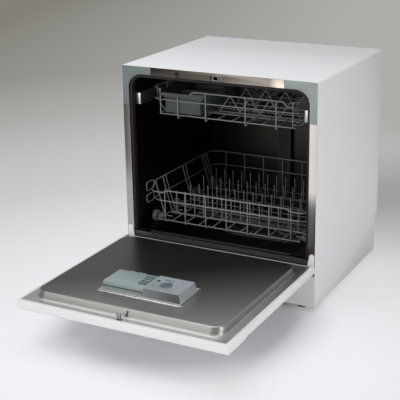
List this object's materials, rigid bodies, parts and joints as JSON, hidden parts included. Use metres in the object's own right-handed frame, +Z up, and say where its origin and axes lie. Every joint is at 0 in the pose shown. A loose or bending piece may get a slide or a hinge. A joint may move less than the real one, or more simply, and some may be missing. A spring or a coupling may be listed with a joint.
{
  "type": "countertop dishwasher",
  "caption": "Boxy countertop dishwasher with a drop-down door, sliding wire racks on wheels, spray arms, dispenser and control panel.",
  "frame": {"origin": "on the table under the middle of the cabinet, at the height of the feet's undersides", "axes": "+Z up; the door faces -Y and swings down towards -Y; +X to the right seen from the front"},
  "size_m": [0.55, 0.9725, 0.595],
  "materials": {
    "white_enamel": "smooth white enamel on sheet steel",
    "white_plastic": "smooth white moulding",
    "back_sheet": "plain galvanised grey sheet",
    "polished_steel": "polished stainless steel",
    "tub_steel": "satin stainless steel, dark inside the cavity",
    "hinge_steel": "bright plated steel",
    "blue_grey_plastic": "blue-grey moulded plastic",
    "lid_plastic": "pale blue-grey moulded plastic",
    "dark_grey_plastic": "dark grey moulded plastic",
    "black_rubber": "black rubber",
    "black_plastic": "black plastic",
    "pan_plastic": "dark moulded tray",
    "rack_coat": "grey plastic-coated steel wire",
    "wheel_plastic": "grey plastic wheel",
    "basket_plastic": "blue-grey plastic basket",
    "window_glass": "dark clear window",
    "board": "green circuit board",
    "silver_plastic": "silver button cap"
  },
  "bodies": {
    "root": {"cabinet_wrap": "white_enamel", "rear_panel": "back_sheet", "front_plinth": "white_enamel", "base_pan": "pan_plastic", "feet": "black_rubber", "front_frame": "polished_steel", "corner_covers": "blue_grey_plastic", "tub_wrap": "tub_steel", "tub_base": "tub_steel", "tub_back": "tub_steel", "door_seal": "black_rubber", "door_lock": "dark_grey_plastic", "sump": "dark_grey_plastic", "filter_plate": "polished_steel", "circulation_pump": "dark_grey_plastic", "drain_pump": "dark_grey_plastic", "inlet_valve": "white_plastic", "drain_spigot": "dark_grey_plastic", "cord_gland": "black_plastic", "air_break": "white_plastic", "pressure_switch": "dark_grey_plastic", "upper_feed_pipe": "dark_grey_plastic", "upper_rails": "tub_steel", "hinge_brackets": "hinge_steel"},
    "filter_cup": {"filter_cup": "dark_grey_plastic"},
    "door": {"door_skin": "white_enamel", "door_liner": "polished_steel", "hinge_leaves": "hinge_steel", "control_panel": "white_plastic", "control_board": "board", "display_window": "window_glass", "dispenser_body": "blue_grey_plastic", "level_window": "window_glass"},
    "power_button": {"button_1": "silver_plastic"},
    "program_button": {"button_2": "silver_plastic"},
    "delay_button": {"button_3": "silver_plastic"},
    "start_button": {"button_4": "silver_plastic"},
    "handle_paddle": {"handle_paddle": "dark_grey_plastic"},
    "latch_hook": {"latch_hook": "hinge_steel"},
    "detergent_lid": {"detergent_lid": "lid_plastic"},
    "lid_catch": {"lid_catch": "blue_grey_plastic"},
    "rinse_cap": {"rinse_cap": "blue_grey_plastic"},
    "lower_rack": {"lower_rack_floor": "rack_coat", "lower_rack_front": "rack_coat", "lower_rack_back": "rack_coat", "lower_rack_sides": "rack_coat", "lower_rack_tines": "rack_coat"},
    "lower_wheels_1": {"lower_wheels_1": "wheel_plastic"},
    "lower_wheels_2": {"lower_wheels_2": "wheel_plastic"},
    "lower_wheels_3": {"lower_wheels_3": "wheel_plastic"},
    "lower_wheels_4": {"lower_wheels_4": "wheel_plastic"},
    "lower_spray_arm": {"lower_spray_arm": "dark_grey_plastic"},
    "upper_rack": {"upper_rack_floor": "rack_coat", "upper_rack_ends": "rack_coat", "upper_rack_sides": "rack_coat", "upper_rack_tines": "rack_coat", "cutlery_basket": "basket_plastic"},
    "upper_wheels_1": {"upper_wheels_1": "wheel_plastic"},
    "upper_wheels_2": {"upper_wheels_2": "wheel_plastic"},
    "upper_spray_arm": {"upper_spray_arm": "dark_grey_plastic"}
  },
  "joints": [
    {"name": "door_hinge", "type": "hinge", "parent": "root", "child": "door", "pos_m": [0, -0.254, 0.1135], "axis": [1, 0, 0], "range_deg": [-90, 0]},
    {"name": "lower_rack_slide", "type": "slide", "parent": "root", "child": "lower_rack", "axis": [0, -1, 0], "range_m": [0, 0.345]},
    {"name": "upper_rack_slide", "type": "slide", "parent": "root", "child": "upper_rack", "axis": [0, -1, 0], "range_m": [0, 0.25]},
    {"name": "lower_wheels_1_spin", "type": "hinge", "parent": "lower_rack", "child": "lower_wheels_1", "pos_m": [0, -0.161, 0.162], "axis": [1, 0, 0], "continuous": true},
    {"name": "lower_wheels_2_spin", "type": "hinge", "parent": "lower_rack", "child": "lower_wheels_2", "pos_m": [0, -0.0465, 0.162], "axis": [1, 0, 0], "continuous": true},
    {"name": "lower_wheels_3_spin", "type": "hinge", "parent": "lower_rack", "child": "lower_wheels_3", "pos_m": [0, 0.068, 0.162], "axis": [1, 0, 0], "continuous": true},
    {"name": "lower_wheels_4_spin", "type": "hinge", "parent": "lower_rack", "child": "lower_wheels_4", "pos_m": [0, 0.1825, 0.162], "axis": [1, 0, 0], "continuous": true},
    {"name": "upper_wheels_1_spin", "type": "hinge", "parent": "upper_rack", "child": "upper_wheels_1", "pos_m": [0, 0.048, 0.504], "axis": [1, 0, 0], "continuous": true},
    {"name": "upper_wheels_2_spin", "type": "hinge", "parent": "upper_rack", "child": "upper_wheels_2", "pos_m": [0, 0.14, 0.504], "axis": [1, 0, 0], "continuous": true},
    {"name": "lower_arm_spin", "type": "hinge", "parent": "root", "child": "lower_spray_arm", "pos_m": [0, 0, 0.128], "axis": [0, 0, 1], "continuous": true},
    {"name": "upper_arm_spin", "type": "hinge", "parent": "upper_rack", "child": "upper_spray_arm", "pos_m": [0, 0, 0.4346], "axis": [0, 0, 1], "continuous": true},
    {"name": "filter_twist", "type": "hinge", "parent": "root", "child": "filter_cup", "pos_m": [0.104, 0, 0.1135], "axis": [0, 0, 1], "range_deg": [0, 90]},
    {"name": "detergent_lid_hinge", "type": "hinge", "parent": "door", "child": "detergent_lid", "pos_m": [-0.054, -0.5482, 0.1645], "axis": [1, 0, 0], "range_deg": [-100, 0]},
    {"name": "lid_catch_slide", "type": "slide", "parent": "door", "child": "lid_catch", "axis": [0, 1, 0], "range_m": [0, 0.003], "stiffness_N_per_m": 150},
    {"name": "rinse_cap_twist", "type": "hinge", "parent": "door", "child": "rinse_cap", "pos_m": [0.048, -0.591, 0.168], "axis": [0, 0, 1], "range_deg": [0, 90]},
    {"name": "handle_pull", "type": "hinge", "parent": "door", "child": "handle_paddle", "pos_m": [0, -0.6655, 0.1145], "axis": [-1, 0, 0], "range_deg": [0, 15], "stiffness_Nm_per_rad": 0.6},
    {"name": "latch_turn", "type": "hinge", "parent": "door", "child": "latch_hook", "pos_m": [0, -0.7125, 0.119], "axis": [-1, 0, 0], "range_deg": [0, 10]},
    {"name": "power_press", "type": "slide", "parent": "door", "child": "power_button", "axis": [0, 0, 1], "range_m": [0, 0.0015], "stiffness_N_per_m": 300},
    {"name": "program_press", "type": "slide", "parent": "door", "child": "program_button", "axis": [0, 0, 1], "range_m": [0, 0.0015], "stiffness_N_per_m": 300},
    {"name": "delay_press", "type": "slide", "parent": "door", "child": "delay_button", "axis": [0, 0, 1], "range_m": [0, 0.0015], "stiffness_N_per_m": 300},
    {"name": "start_press", "type": "slide", "parent": "door", "child": "start_button", "axis": [0, 0, 1], "range_m": [0, 0.0015], "stiffness_N_per_m": 300}
  ],
  "couplings": [
    {"joint": "lower_wheels_1_spin", "follows": "lower_rack_slide", "rad_per_m": 63.694},
    {"joint": "lower_wheels_2_spin", "follows": "lower_rack_slide", "rad_per_m": 63.694},
    {"joint": "lower_wheels_3_spin", "follows": "lower_rack_slide", "rad_per_m": 63.694},
    {"joint": "lower_wheels_4_spin", "follows": "lower_rack_slide", "rad_per_m": 63.694},
    {"joint": "upper_wheels_1_spin", "follows": "upper_rack_slide", "rad_per_m": 76.923},
    {"joint": "upper_wheels_2_spin", "follows": "upper_rack_slide", "rad_per_m": 76.923},
    {"joint": "latch_turn", "follows": "handle_pull", "ratio": 0.6}
  ]
}
